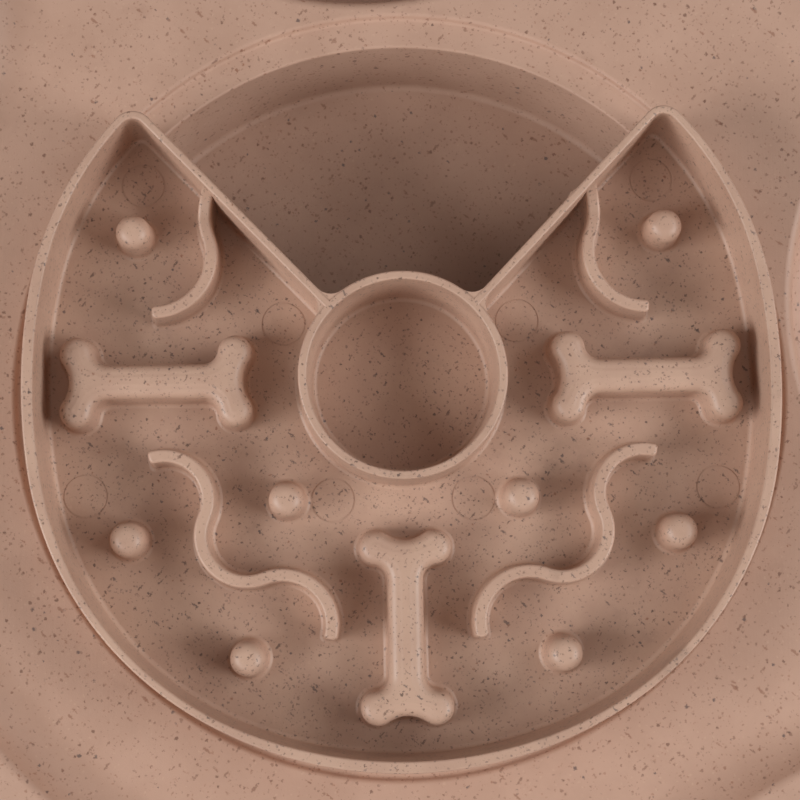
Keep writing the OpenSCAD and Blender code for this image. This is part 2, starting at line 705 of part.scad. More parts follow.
// Bone along x: knobs, shank and hollow blends, all with the same rounded edge
module bone() {
    points = edge_points(maze_h, bone_round, bone_draft, some);
    shank_points = moved(edge_points(maze_h, bone_round, bone_draft, some, swell), [-shank_w / 2, 0]);
    blend = [bone_knob_l - sqrt(pow(knob_r + shank_blend_r, 2)
             - pow(bone_knob_w - shank_w / 2 - shank_blend_r, 2)), shank_w / 2 + shank_blend_r];
    blend_turn = heading([bone_knob_l, bone_knob_w] - blend);
    end_x = bone_knob_l + sqrt(pow(knob_r + bone_end_r, 2) - pow(bone_knob_w, 2));
    end_turn = heading([bone_knob_l - end_x, bone_knob_w]);
    core = shank_w / 2 + bone_round / 4;
    tuck = 2;
    for (sx = [0, 1]) mirror([sx, 0, 0]) {
        for (sy = [0, 1]) mirror([0, sy, 0]) {
            translate([bone_knob_l, bone_knob_w, 0]) knob(knob_r, bone_round, bone_draft, some);
            translate(blend) rotate(-90 - tuck) rotate_extrude(angle = 90 + blend_turn + 2 * tuck)
                translate([shank_blend_r, 0]) edge_section(points, core);
        }
        translate([end_x, 0, 0]) rotate(end_turn - tuck) rotate_extrude(angle = 2 * (180 - end_turn + tuck))
            translate([bone_end_r, 0]) edge_section(points, core);
    }
    run_along(-blend[0], blend[0]) polygon(concat(shank_points, backwards(facing_in(shank_points, 0))));
}

module maze_half() {
    notch_side();
    short_wave();
    translate([0, 0, plate_z]) {
        for (p = peg_shares)
            translate(p * insert_half_w) knob(peg_r, peg_round, peg_draft, some);
        long_wave();
        translate(side_bone_shares * insert_half_w) bone();
    }
}

module insert_body() {
    difference() {
        union() {
            dish();
            for (side = [0, 1]) mirror([side, 0, 0])
                maze_half();
            translate([0, end_bone_share * insert_half_w, plate_z]) rotate(90) bone();
            difference() {
                cup_foot();
                notch_wedge();
            }
            cup_body();
        }
        cup_hollow();
    }
}

// Maze insert, seated on the ledge of the front well
module slow_feed_insert() {
    color(insert_tint) translate([0, front_y, ledge_z]) rotate(insert_turn)
        translate([0, insert_slip, 0]) insert_body();
}

tray();
slow_feed_insert();
foot(front_well, front_lobe_r, front_foot_turn, 0);  // foot_front_right
foot(front_well, front_lobe_r, front_foot_turn, 1);  // foot_front_left
foot(right_well, rear_lobe_r, side_foot_turn, 0);  // foot_right_side
foot(right_well, rear_lobe_r, rear_foot_turn, 0);  // foot_right_rear
foot(right_well, rear_lobe_r, side_foot_turn, 1);  // foot_left_side
foot(right_well, rear_lobe_r, rear_foot_turn, 1);  // foot_left_rear
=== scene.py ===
# Finishes, smooth shells, light and camera for the clover-shaped tray with its maze insert.
import math

import bmesh
import bpy
from mathutils import Matrix, Vector


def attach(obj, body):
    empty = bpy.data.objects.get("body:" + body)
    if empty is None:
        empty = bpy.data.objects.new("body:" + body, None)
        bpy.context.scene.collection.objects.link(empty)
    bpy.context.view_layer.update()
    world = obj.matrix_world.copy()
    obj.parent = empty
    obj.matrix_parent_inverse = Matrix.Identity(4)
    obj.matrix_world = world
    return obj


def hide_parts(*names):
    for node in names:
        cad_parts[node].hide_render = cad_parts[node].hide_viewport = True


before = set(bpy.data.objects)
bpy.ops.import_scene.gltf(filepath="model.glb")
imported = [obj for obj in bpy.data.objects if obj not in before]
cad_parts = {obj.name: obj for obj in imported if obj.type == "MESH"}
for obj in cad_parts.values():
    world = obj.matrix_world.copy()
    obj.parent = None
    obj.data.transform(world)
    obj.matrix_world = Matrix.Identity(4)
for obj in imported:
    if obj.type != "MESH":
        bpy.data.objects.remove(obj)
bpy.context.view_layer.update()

MM = 0.001

# Sizes of the tray in millimetres. They are the construction's, apart from the lip and the recess:
# as in the photograph, the lip's crest is rounder and the recess's step is soft, and the lip is a
# little narrower, so that the finer arcs stay inside the construction's box.
DECK_H = 50.0
SHELL_T = 2.5
PAD_H = 3.0
FRONT_LOBE_R = 137.0
REAR_LOBE_R = 122.5
WELL_SPACING = 191.0
WELL_SPREAD = 86.8
SIDE_WAIST_R = 78.0
BACK_WAIST_R = 90.0
LIP_H = 8.0
LIP_W = 13.93
COVE_W = 14.0
LIP_EDGE_R = 4.0
CREST_R = 3.0
SKIRT_DRAFT = 3.0
RECESS_R = 100.5
RECESS_D = 1.6
RECESS_EDGE_R = 1.4
RECESS_FOOT_R = 1.1
LEDGE_R = 92.5
LEDGE_EDGE_R = 0.8
FRONT_WELL_D = 26.6
FRONT_WELL_DRAFT = 8.0
FRONT_WELL_FILLET = 2.0
REAR_WELL_R = 86.0
REAR_WELL_D = 42.0
REAR_WELL_DRAFT = 7.0
REAR_WELL_FILLET = 12.0
REAR_MOUTH_R = 3.0
BOSS_R = 7.5
BOSS_INSET = 23.0
BOSS_RIB_T = 2.0
SOCKET_R = 4.0
SOCKET_L = 8.1
PAD_R = 8.5
PAD_EDGE_R = 1.1
STEM_R = 3.9
STEM_L = 8.0

# Feet: the lobe, the direction from its middle in degrees, and 0 on the right or 1 on the left
FEET = {"foot_front_right": ("front", -40, 0), "foot_front_left": ("front", -40, 1),
        "foot_right_side": ("rear", -25, 0), "foot_left_side": ("rear", -25, 1),
        "foot_right_rear": ("rear", 85, 0), "foot_left_rear": ("rear", 85, 1)}

# Sizes of the insert in millimetres, in its own frame: its notch faces +y, and z is 0 on its
# underside. Arcs are half width, length of the closed end, and side, corner and end radius.
INSERT_TURN = 40.65
INSERT_SLIP = 0.6
INSERT_H = 22.2
FLOOR_T = 2.2
OUTER_ARCS = (95.5, 97.7, 150.0, 87.0, 102.0)
POCKET_ARCS = (92.6, 94.7, 140.0, 81.0, 107.0)
WALL_DRAFT = 1.0
RIM_EDGE_R = 0.6
FOOT_R = 1.4
VEE_HALF = 43.7
VEE_T = 2.1
VEE_AT = Vector((0.0, -0.5))
HORN_R = 5.5
WEB_R = 4.5
CUP_AT = Vector((0.0, 1.0))
CUP_R = 26.4
CUP_WALL_T = 2.2
CUP_DROP = 1.0
CUP_DRAFT = 2.2
CUP_FILLET = 1.5
MAZE_H = 12.0
PEG_R = 5.0
PEG_ROUND = 3.4
PEG_DRAFT = 3.5
PEG_TIP_R = 0.75
PEG_CROWN_H = 0.03125
PEG_PLACES = ((68.8, 40.1), (30.0, -29.4), (70.3, -39.0), (40.1, -69.4))
MARK_PLACES = ((67.1, 54.4), (30.5, 17.1), (82.3, -27.3), (18.3, -29.2))
MARK_R = 5.8
MARK_W = 0.4
MARK_D = 0.15
BONE_KNOB_L = 20.2
BONE_KNOB_W = 7.4
KNOB_R = 4.7
SHANK_W = 9.6
SHANK_BLEND_R = 3.4
BONE_END_R = 8.0
BONE_ROUND = 2.8
BONE_DRAFT = 2.5
SIDE_BONE_AT = (63.0, 1.2)
END_BONE_AT = (0.0, -62.2)
CROWN_H = 0.25
CROWN_W = 0.9

# A bone's crown in steps, as shares of its width and height
CROWN_STEPS = ((0.5, 0.6), (1.0, 1.0))

WAVE_W = 3.3
WAVE_ROUND = 0.8
WAVE_DRAFT = 1.5
WAVE_END_R = 1.3
WAVE_END_L = 1.6
LONG_WAVE_AT = (63.4, -18.2)
LONG_WAVE_HEADING = 167.2
LONG_WAVE_BENDS = ((11.2, 126.6), (11.7, -134.6), (12.6, 122.5))
SHORT_WAVE_ALONG = 70.0
SHORT_WAVE_HEADING = -64.0
SHORT_WAVE_BENDS = ((14.6, -45.5), (14.7, 106.6))

# As shares: how much of a wave end's half width its corners may take, and how much of the climb's
# run and drop the short wave's ramp takes
WAVE_CORNER_SHARE = 0.95
RAMP_RUN_SHARE = 0.93
RAMP_DROP_SHARE = 0.999

# How far cuts run past a face, and how far foot fillets sink into the floor
LAP = 1.0
SINK = 0.03

# How fine the curves are: millimetres between stations of a path, steps in arcs and circles, and
# the degrees from which an edge stays sharp
STATION_L = 2.2
FEWEST_ARC_STEPS = 2
FEWEST_BEND_STEPS = 6
ROUND_STEPS = 6
FINE_RING = 48
WIDE_RING = 192
SHARP_ANGLE = 38.0

# Camera: where it stands from the front well's centre on the deck, in the photograph's own
# directions, and where the point right below it lies in the picture
PHOTO_TURN = math.radians(39.7)
CAMERA_OFFSET = Vector((-10.7, -54.7, 478.3)) * MM
FOCAL_PX = 1840.0
IMAGE_PX = 800.0
NADIR_PX = (360.0, 600.0)
SENSOR_MM = 36.0
CLIP_START = 0.01


def linear(r, g, b):
    """An sRGB colour from 0 to 255 as a linear one."""
    def one(v):
        v /= 255
        return v / 12.92 if v <= 0.04045 else ((v + 0.055) / 1.055) ** 2.4
    return (one(r), one(g), one(b), 1.0)


class Nodes:
    """Short calls for one material's node tree."""

    def __init__(self, name):
        self.material = bpy.data.materials.new(name)
        self.material.use_nodes = True
        self.tree = self.material.node_tree
        self.shader = self.tree.nodes["Principled BSDF"]

    def add(self, kind, settings=(), **inputs):
        """A node with its settings and inputs: an input is a socket's name, or i and its number."""
        node = self.tree.nodes.new(kind)
        for key, value in dict(settings).items():
            setattr(node, key, value)
        for key, value in inputs.items():
            self.put(node.inputs[int(key[1:])] if key[1:].isdigit() else node.inputs[key], value)
        return node

    def put(self, socket, value):
        if isinstance(value, bpy.types.NodeSocket):
            self.tree.links.new(value, socket)
        else:
            socket.default_value = value

    def math(self, operation, a, b):
        return self.add("ShaderNodeMath", {"operation": operation}, i0=a, i1=b).outputs[0]

    def vector_math(self, operation, a, b):
        return self.add("ShaderNodeVectorMath", {"operation": operation}, i0=a, i1=b).outputs[0]

    def noise(self, position, scale, detail, roughness):
        return self.add("ShaderNodeTexNoise", Vector=position, Scale=scale, Detail=detail,
                        Roughness=roughness)

    def bump(self, height, strength, distance):
        bump = self.add("ShaderNodeBump", Strength=strength, Distance=distance, Height=height)
        self.put(self.shader.inputs["Normal"], bump.outputs[0])

    def mix(self, factor, a, b):
        """A mix of two colours, through the node's colour sockets."""
        node = self.add("ShaderNodeMix", {"data_type": "RGBA"})
        self.put(node.inputs[0], factor)
        self.put(node.inputs[6], a)
        self.put(node.inputs[7], b)
        return node.outputs[2]

    def ramp(self, value, low, high):
        """0 below low, 1 above high."""
        node = self.add("ShaderNodeMapRange", {"interpolation_type": "SMOOTHSTEP"}, Value=value)
        node.inputs["From Min"].default_value = low
        node.inputs["From Max"].default_value = high
        return node.outputs[0]


# Noise patterns in the materials: scale per metre, detail and roughness
WOBBLE_NOISE = (1500.0, 4.0, 0.7)
MOTTLE_NOISE = (55.0, 4.0, 0.6)
CLOUD_NOISE = (38.0, 5.0, 0.7)
PATCH_NOISE = (140.0, 3.0, 0.5)
GRAIN_NOISE = (2600.0, 3.0, 0.5)
RIPPLE_NOISE = (260.0, 2.0, 0.5)
LINE_NOISE = (1500.0, 2.0, 0.5)
DUST_NOISE = (420.0, 4.0, 0.5)
RUBBER_NOISE = (1800.0, 3.0, 0.5)

# The plastic: how far its noise bends the flecks in metres, between which noise values it turns to
# the next colour, the smallest fleck's share of the radius, how soft a fleck's edge is in cells,
# what patches and flecks do to the roughness, and the bump with each noise's share in it
WOBBLE = 0.0016
MOTTLE_RANGE = (0.3, 0.7)
CLOUD_RANGE = (0.56, 0.80)
CLOUD_STRENGTH = 0.45
SMALLEST_FLECK = 0.4
FLECK_EDGE = 0.08
PATCH_ROUGHNESS = 0.12
FLECK_SHINE = 0.08
GRAIN_SHARE = 0.35
RIPPLE_SHARE = 0.65
LINE_SHARE = 0.5
LINE_STRETCH = (1.0, 0.03, 1.0)
PLASTIC_BUMP = (0.22, 0.0003)

# The feet's rubber: where dust lies, what it adds to the roughness, and strength and height of bump
DUST_RANGE = (0.35, 0.75)
DUST_ROUGHNESS = 0.2
RUBBER_ROUGHNESS = 0.62
RUBBER_BUMP = (0.3, 0.0002)


def speckled_plastic(name, base, dark_base, cloud, layers, roughness):
    """Moulded plastic with coloured flecks through it: mottled base, fleck layers, fine grain.

    A layer of flecks holds the size of its cells in millimetres, the share of them with a fleck, a
    fleck's radius in cells, two tints, how strongly they cover and how the cells are stretched.
    """
    n = Nodes(name)
    position = n.add("ShaderNodeTexCoord").outputs["Object"]
    wobble = n.noise(position, *WOBBLE_NOISE).outputs["Color"]
    offset = n.vector_math("SUBTRACT", wobble, (0.5, 0.5, 0.5))
    offset = n.vector_math("MULTIPLY", offset, (WOBBLE, WOBBLE, WOBBLE))
    position = n.vector_math("ADD", position, offset)

    mottle = n.noise(position, *MOTTLE_NOISE).outputs[0]
    colour = n.mix(n.ramp(mottle, *MOTTLE_RANGE), dark_base, base)
    clouds = n.ramp(n.noise(position, *CLOUD_NOISE).outputs[0], *CLOUD_RANGE)
    colour = n.mix(n.math("MULTIPLY", clouds, CLOUD_STRENGTH), colour, cloud)
    all_flecks = None
    for cell, share, radius, tint_a, tint_b, strength, stretch in layers:
        where = n.vector_math("MULTIPLY", position, stretch)
        cells = n.add("ShaderNodeTexVoronoi", {"feature": "F1"}, Vector=where,
                      Scale=1 / (cell * MM))
        parts = n.add("ShaderNodeSeparateColor", Color=cells.outputs["Color"])
        present = n.math("LESS_THAN", parts.outputs[0], share)
        size = n.math("MULTIPLY", parts.outputs[1], (1 - SMALLEST_FLECK) * radius)
        size = n.math("ADD", size, SMALLEST_FLECK * radius)
        inside = n.ramp(n.math("SUBTRACT", size, cells.outputs["Distance"]), 0.0, FLECK_EDGE)
        fleck = n.math("MULTIPLY", n.math("MULTIPLY", present, inside), strength)
        colour = n.mix(fleck, colour, n.mix(parts.outputs[2], tint_a, tint_b))
        all_flecks = fleck if all_flecks is None else n.math("MAXIMUM", all_flecks, fleck)
    n.put(n.shader.inputs["Base Color"], colour)

    patches = n.math("MULTIPLY", n.noise(position, *PATCH_NOISE).outputs[0], PATCH_ROUGHNESS)
    rough = n.math("ADD", patches, roughness - PATCH_ROUGHNESS / 2)
    rough = n.math("SUBTRACT", rough, n.math("MULTIPLY", all_flecks, FLECK_SHINE))
    n.put(n.shader.inputs["Roughness"], rough)

    turned = n.add("ShaderNodeMapping", Vector=position, Rotation=(0.0, 0.0, -PHOTO_TURN))
    stretched = n.vector_math("MULTIPLY", turned.outputs[0], LINE_STRETCH)
    grain = n.math("MULTIPLY", n.noise(position, *GRAIN_NOISE).outputs[0], GRAIN_SHARE)
    ripple = n.math("MULTIPLY", n.noise(position, *RIPPLE_NOISE).outputs[0], RIPPLE_SHARE)
    lines = n.math("MULTIPLY", n.noise(stretched, *LINE_NOISE).outputs[0], LINE_SHARE)
    n.bump(n.math("ADD", n.math("ADD", grain, ripple), lines), *PLASTIC_BUMP)
    return n.material


ALONG_X = (0.3, 1.0, 1.0)
ALONG_Y = (1.0, 0.3, 1.0)
ROUND = (1.0, 1.0, 1.0)

BLACK_FLECK = linear(70, 54, 50)
GREY_FLECK = linear(98, 86, 86)
BROWN_FLECK = linear(108, 78, 64)
RUST_FLECK = linear(148, 96, 70)
SAND_FLECK = linear(206, 174, 152)
RUBBER_BLACK = linear(34, 32, 32)
RUBBER_DUST = linear(66, 62, 60)

tray_plastic = speckled_plastic(
    "speckled_tray_plastic", linear(196, 161, 142), linear(188, 153, 134), linear(158, 122, 104),
    [(1.0, 0.55, 0.34, RUST_FLECK, BROWN_FLECK, 0.42, ROUND),
     (1.5, 0.50, 0.32, BROWN_FLECK, RUST_FLECK, 0.55, ROUND),
     (2.4, 0.50, 0.24, RUST_FLECK, BROWN_FLECK, 0.75, ROUND),
     (3.4, 0.45, 0.19, BROWN_FLECK, GREY_FLECK, 0.85, ROUND),
     (1.9, 0.34, 0.25, RUST_FLECK, BROWN_FLECK, 0.60, ALONG_X),
     (1.9, 0.34, 0.25, BROWN_FLECK, RUST_FLECK, 0.60, ALONG_Y),
     (1.4, 0.40, 0.30, SAND_FLECK, SAND_FLECK, 0.35, ROUND)],
    roughness=0.46)
insert_plastic = speckled_plastic(
    "speckled_insert_plastic", linear(200, 167, 147), linear(190, 156, 137), linear(140, 114, 99),
    [(0.9, 0.55, 0.36, GREY_FLECK, BROWN_FLECK, 0.45, ROUND),
     (1.2, 0.50, 0.32, BROWN_FLECK, GREY_FLECK, 0.60, ROUND),
     (1.7, 0.50, 0.25, BROWN_FLECK, BLACK_FLECK, 0.75, ROUND),
     (2.7, 0.45, 0.18, BLACK_FLECK, GREY_FLECK, 0.85, ROUND),
     (2.4, 0.35, 0.18, RUST_FLECK, BROWN_FLECK, 0.75, ROUND),
     (1.6, 0.34, 0.24, GREY_FLECK, BLACK_FLECK, 0.70, ALONG_X),
     (1.6, 0.34, 0.24, BROWN_FLECK, BLACK_FLECK, 0.70, ALONG_Y),
     (1.4, 0.40, 0.30, SAND_FLECK, SAND_FLECK, 0.35, ROUND)],
    roughness=0.42)


def foot_rubber_material():
    """Matte rubber with a little dust on it."""
    n = Nodes("foot_rubber_matte")
    position = n.add("ShaderNodeTexCoord").outputs["Object"]
    dust = n.noise(position, *DUST_NOISE).outputs[0]
    colour = n.mix(n.ramp(dust, *DUST_RANGE), RUBBER_BLACK, RUBBER_DUST)
    n.put(n.shader.inputs["Base Color"], colour)
    rough = n.math("ADD", n.math("MULTIPLY", dust, DUST_ROUGHNESS), RUBBER_ROUGHNESS)
    n.put(n.shader.inputs["Roughness"], rough)
    n.bump(n.noise(position, *RUBBER_NOISE).outputs[0], *RUBBER_BUMP)
    return n.material


foot_rubber = foot_rubber_material()


def dress(obj, material):
    obj.data.materials.clear()
    obj.data.materials.append(material)


def along(degrees):
    a = math.radians(degrees)
    return Vector((math.cos(a), math.sin(a)))


def heading(v):
    return math.degrees(math.atan2(v.y, v.x))


def flipped(p):
    return Vector((-p.x, p.y))


def arc(centre, radius, start, stop, steps):
    """Points of an arc, in plan or in section, from one angle to another."""
    turns = [start + (stop - start) * i / steps for i in range(steps + 1)]
    return [Vector(centre) + radius * along(a) for a in turns]


def meet(a, radius_a, b, radius_b):
    """The point at those distances from a and b, on the right of the way from a to b."""
    way = b - a
    length = way.length
    x = (radius_a ** 2 - radius_b ** 2 + length ** 2) / (2 * length)
    side = Vector((way.y, -way.x)) / length
    return a + way / length * x + side * math.sqrt(radius_a ** 2 - x ** 2)


def reach(p, u, centre, radius):
    """Distance from p along the unit vector u to the far side of a circle."""
    q = p - centre
    b = q.dot(u)
    return -b + math.sqrt(b * b - q.dot(q) + radius ** 2)


def stations(centre, radius, start, stop, side):
    """Steps along an arc of a path, each a point with the direction that leads out of the path."""
    steps = max(FEWEST_ARC_STEPS, round(math.radians(abs(stop - start)) * radius / STATION_L))
    turns = [start + (stop - start) * i / steps for i in range(steps)]
    return [(centre + radius * along(a), side * along(a)) for a in turns]


def loft(name, rings, closed=False):
    """Solid through rings of as many points each, with capped ends unless it closes on itself."""
    count = len(rings[0])
    points = [tuple(p) for ring in rings for p in ring]
    faces = []
    last = len(rings) if closed else len(rings) - 1
    for i in range(last):
        a, b = i * count, (i + 1) % len(rings) * count
        for j in range(count):
            k = (j + 1) % count
            faces.append((a + j, a + k, b + k, b + j))
    if not closed:
        faces.append(tuple(range(count)))
        faces.append(tuple(range(len(points) - count, len(points))))
    mesh = bpy.data.meshes.new(name)
    mesh.from_pydata(points, [], faces)
    shape = bmesh.new()
    shape.from_mesh(mesh)
    bmesh.ops.recalc_face_normals(shape, faces=shape.faces)
    shape.to_mesh(mesh)
    shape.free()
    solid = bpy.data.objects.new(name, mesh)
    bpy.context.collection.objects.link(solid)
    return solid


def stack(name, outline, profile):
    """Solid whose plan at height z is outline(x), for each x and z of the profile."""
    return loft(name, [[(*p, z) for p in outline(x)] for x, z in profile])


def circles(centre, radius=0.0, steps=FINE_RING):
    """Outline for stack(): circles of radius + x."""
    turns = [360 * i / steps for i in range(steps)]
    return lambda x: [centre + (radius + x) * along(a) for a in turns]


def offsets(path):
    """Outline for stack(): the path moved out by x."""
    return lambda x: [p + out * x for p, out in path]


def prism(name, points, bottom, top):
    return loft(name, [[(p[0], p[1], z) for p in points] for z in (bottom, top)])


def sweep(name, path, section):
    """Section of x, out of the path, and z, carried along an open path."""
    return loft(name, [[(*(p + out * x), z) for x, z in section] for p, out in path])


def bake(solid):
    evaluated = solid.evaluated_get(bpy.context.evaluated_depsgraph_get())
    mesh = bpy.data.meshes.new_from_object(evaluated)
    solid.modifiers.clear()
    solid.data = mesh


def combine(solid, operation, parts):
    """Joins or cuts parts with a solid, and removes them."""
    for part in parts:
        step = solid.modifiers.new(part.name, "BOOLEAN")
        step.operation = operation
        step.solver = "MANIFOLD"
        step.object = part
    bake(solid)
    for part in parts:
        bpy.data.objects.remove(part)
    return solid


def join(solid, parts):
    return combine(solid, "UNION", parts)


def cut(solid, parts):
    return combine(solid, "DIFFERENCE", parts)


def moved(parts, place):
    """Parts with their meshes moved by a matrix; a mirror turns their faces over."""
    for part in parts:
        part.data.transform(place)
        if place.determinant() < 0:
            part.data.flip_normals()
    return parts


def both_sides(make):
    """What make() gives, on the right and mirrored on the left."""
    return make() + moved(make(), Matrix.Scale(-1, 4, (1, 0, 0)))


def edge_profile(height, top_r, draft, steps):
    """Raised edge from its foot fillet to its flat top: x is minus the inset from the foot line."""
    tilt = math.radians(draft)
    low = Vector(((-FOOT_R + (FOOT_R - SINK) * math.sin(tilt)) / math.cos(tilt), FOOT_R - SINK))
    top_y = height - top_r
    high = Vector(((top_r + top_y * math.sin(tilt)) / math.cos(tilt), top_y))
    points = [Vector((low.x, -LAP))] + arc(low, FOOT_R, -90, -draft, ROUND_STEPS)
    points += arc(high, top_r, 180 - draft, 90, steps)
    return [Vector((-p.x, p.y)) for p in points]


def lifted(profile, by):
    return [Vector((p.x, p.y + by)) for p in profile]


def mouth_profile(top_r, top_z, draft, mouth_r):
    """Rounded mouth of a tapered pocket, from its edge down into it."""
    tilt = math.radians(draft)
    centre = (top_r - mouth_r * math.tan(tilt) + mouth_r / math.cos(tilt), top_z - mouth_r)
    return arc(centre, mouth_r, 90, 180 - draft, ROUND_STEPS)


def pocket_profile(top_r, top_z, floor_z, draft, fillet, grow):
    """Fillet between the side and the floor of a tapered pocket, grown outwards by grow."""
    tilt = math.radians(draft)
    centre_z = floor_z + fillet
    centre_x = top_r - (top_z - centre_z) * math.tan(tilt) - fillet / math.cos(tilt)
    return arc((centre_x, centre_z), fillet + grow, -draft, -90, ROUND_STEPS)


FRONT = Vector((0.0, 0.0))
RIGHT = WELL_SPACING * along(90 - WELL_SPREAD / 2)
LEFT = flipped(RIGHT)
RIGHT_WAIST = meet(FRONT, FRONT_LOBE_R + SIDE_WAIST_R, RIGHT, REAR_LOBE_R + SIDE_WAIST_R)
LEFT_WAIST = flipped(RIGHT_WAIST)
BACK_WAIST = meet(RIGHT, REAR_LOBE_R + BACK_WAIST_R, LEFT, REAR_LOBE_R + BACK_WAIST_R)
FRONT_Y = (FRONT_LOBE_R - REAR_LOBE_R - RIGHT.y) / 2
FRONT_WELL = Vector((0.0, FRONT_Y, DECK_H)) * MM
COVE_R = (COVE_W ** 2 + LIP_H ** 2) / (2 * LIP_H)
LIP_TOP = DECK_H + LIP_H
LEDGE_Z = DECK_H - RECESS_D
WALL_H = INSERT_H - FLOOR_T
WELL_STEEP = math.radians(REAR_WELL_DRAFT)


def crest_path():
    """The crest line of the tray's lip, counterclockwise from the front lobe's left end."""
    def turn(centre, radius, toward_a, toward_b, side):
        start, stop = heading(toward_a - centre), heading(toward_b - centre)
        if side > 0 and stop < start:
            stop += 360
        if side < 0 and stop > start:
            stop -= 360
        return stations(centre, radius, start, stop, side)
    path = turn(FRONT, FRONT_LOBE_R, LEFT_WAIST, RIGHT_WAIST, 1)
    path += turn(RIGHT_WAIST, SIDE_WAIST_R, FRONT, RIGHT, -1)
    path += turn(RIGHT, REAR_LOBE_R, RIGHT_WAIST, BACK_WAIST, 1)
    path += turn(BACK_WAIST, BACK_WAIST_R, RIGHT, LEFT, -1)
    path += turn(LEFT, REAR_LOBE_R, BACK_WAIST, LEFT_WAIST, 1)
    return path + turn(LEFT_WAIST, SIDE_WAIST_R, LEFT, FRONT, -1)


def skirt_foot(corner, radius, bottom):
    """Where the outer wall ends at the bottom, below the arc that turns down into it."""
    top = Vector(corner) + radius * along(SKIRT_DRAFT)
    return Vector((top.x + (top.y - bottom) * math.tan(math.radians(SKIRT_DRAFT)), bottom))


def lip_profile():
    """From the deck over the lip and down the outer wall."""
    ridge_z = LIP_TOP - CREST_R
    cove = Vector((-COVE_W, DECK_H + COVE_R))
    ridge = Vector((math.sqrt((COVE_R + CREST_R) ** 2 - (cove.y - ridge_z) ** 2) - COVE_W, ridge_z))
    turn = heading(ridge - cove)
    edge = (LIP_W - LIP_EDGE_R, LIP_TOP - LIP_EDGE_R)
    points = arc(cove, COVE_R, -90, turn, 2 * ROUND_STEPS)
    points += arc(ridge, CREST_R, 180 + turn, 90, ROUND_STEPS)
    points += arc(edge, LIP_EDGE_R, 90, SKIRT_DRAFT, 2 * ROUND_STEPS)
    return points + [skirt_foot(edge, LIP_EDGE_R, PAD_H)]


def under_lip_profile():
    """The hollow's outline, one shell thickness inside the lip and the outer wall."""
    hollow_r = COVE_R + SHELL_T
    inner_r = LIP_EDGE_R - SHELL_T
    rise = DECK_H + COVE_R - LIP_TOP + SHELL_T
    turn = -math.degrees(math.asin(rise / hollow_r))
    edge = (LIP_W - LIP_EDGE_R, LIP_TOP - LIP_EDGE_R)
    points = arc((-COVE_W, DECK_H + COVE_R), hollow_r, -90, turn, 2 * ROUND_STEPS)
    points += arc(edge, inner_r, 90, SKIRT_DRAFT, ROUND_STEPS)
    return points + [skirt_foot(edge, inner_r, PAD_H - LAP)]


def wide(centre):
    return circles(centre, steps=WIDE_RING)


def front_well_pocket(grow):
    floor_z = DECK_H - FRONT_WELL_D
    return pocket_profile(LEDGE_R, LEDGE_Z, floor_z, FRONT_WELL_DRAFT, FRONT_WELL_FILLET, grow)


def rear_well_pocket(grow):
    floor_z = DECK_H - REAR_WELL_D
    return pocket_profile(REAR_WELL_R, DECK_H, floor_z, REAR_WELL_DRAFT, REAR_WELL_FILLET, grow)


def front_well_hollow():
    """The recess with its soft step, and the well below its ledge."""
    turn = math.degrees(math.acos(1 - RECESS_D / (RECESS_EDGE_R + RECESS_FOOT_R)))
    lean = math.sin(math.radians(turn))
    edge = (RECESS_R + RECESS_EDGE_R * lean, DECK_H - RECESS_EDGE_R)
    foot = (RECESS_R - RECESS_FOOT_R * lean, LEDGE_Z + RECESS_FOOT_R)
    profile = [Vector((edge[0], DECK_H + LAP))]
    profile += arc(edge, RECESS_EDGE_R, 90, 90 + turn, ROUND_STEPS)
    profile += arc(foot, RECESS_FOOT_R, turn - 90, -90, ROUND_STEPS)[1:]
    profile += mouth_profile(LEDGE_R, LEDGE_Z, FRONT_WELL_DRAFT, LEDGE_EDGE_R)
    return stack("front_well_hollow", wide(FRONT), profile + front_well_pocket(0))


def front_well_outside():
    """The front well with its walls, which stay standing in the hollow under the tray."""
    tilt = math.radians(FRONT_WELL_DRAFT)
    rim = RECESS_R + SHELL_T
    shoulder = LEDGE_R + (1 / math.cos(tilt) - math.tan(tilt)) * SHELL_T
    shelf_z = LEDGE_Z - SHELL_T
    profile = [Vector((rim, DECK_H)), Vector((rim, shelf_z)), Vector((shoulder, shelf_z))]
    return stack("front_well_outside", wide(FRONT), profile + front_well_pocket(SHELL_T))


def rear_well_hollow(centre):
    mouth = mouth_profile(REAR_WELL_R, DECK_H, REAR_WELL_DRAFT, REAR_MOUTH_R)
    profile = [Vector((mouth[0].x, DECK_H + LAP))] + mouth
    return stack("rear_well_hollow", wide(centre), profile + rear_well_pocket(0))


def rear_well_outside(centre):
    """A rear well with its walls, which stay standing in the hollow under the tray."""
    rim = REAR_WELL_R + REAR_MOUTH_R + SHELL_T
    shoulder = REAR_WELL_R + SHELL_T / math.cos(WELL_STEEP) - REAR_MOUTH_R * math.tan(WELL_STEEP)
    profile = [Vector((rim, DECK_H)), Vector((rim, DECK_H - REAR_MOUTH_R)),
               Vector((shoulder, DECK_H - REAR_MOUTH_R - SHELL_T))]
    return stack("rear_well_outside", wide(centre), profile + rear_well_pocket(SHELL_T))


def foot_places():
    """Each foot's name with the matrix that carries it to its place, in millimetres."""
    places = {}
    for name, (lobe, turn, side) in FEET.items():
        centre, radius = (FRONT, FRONT_LOBE_R) if lobe == "front" else (RIGHT, REAR_LOBE_R)
        place = Matrix.Translation((*centre, 0)) @ Matrix.Rotation(math.radians(turn), 4, "Z")
        place = place @ Matrix.Translation((radius - BOSS_INSET, 0, 0))
        places[name] = Matrix.Scale(1 - 2 * side, 4, (1, 0, 0)) @ place
    return places


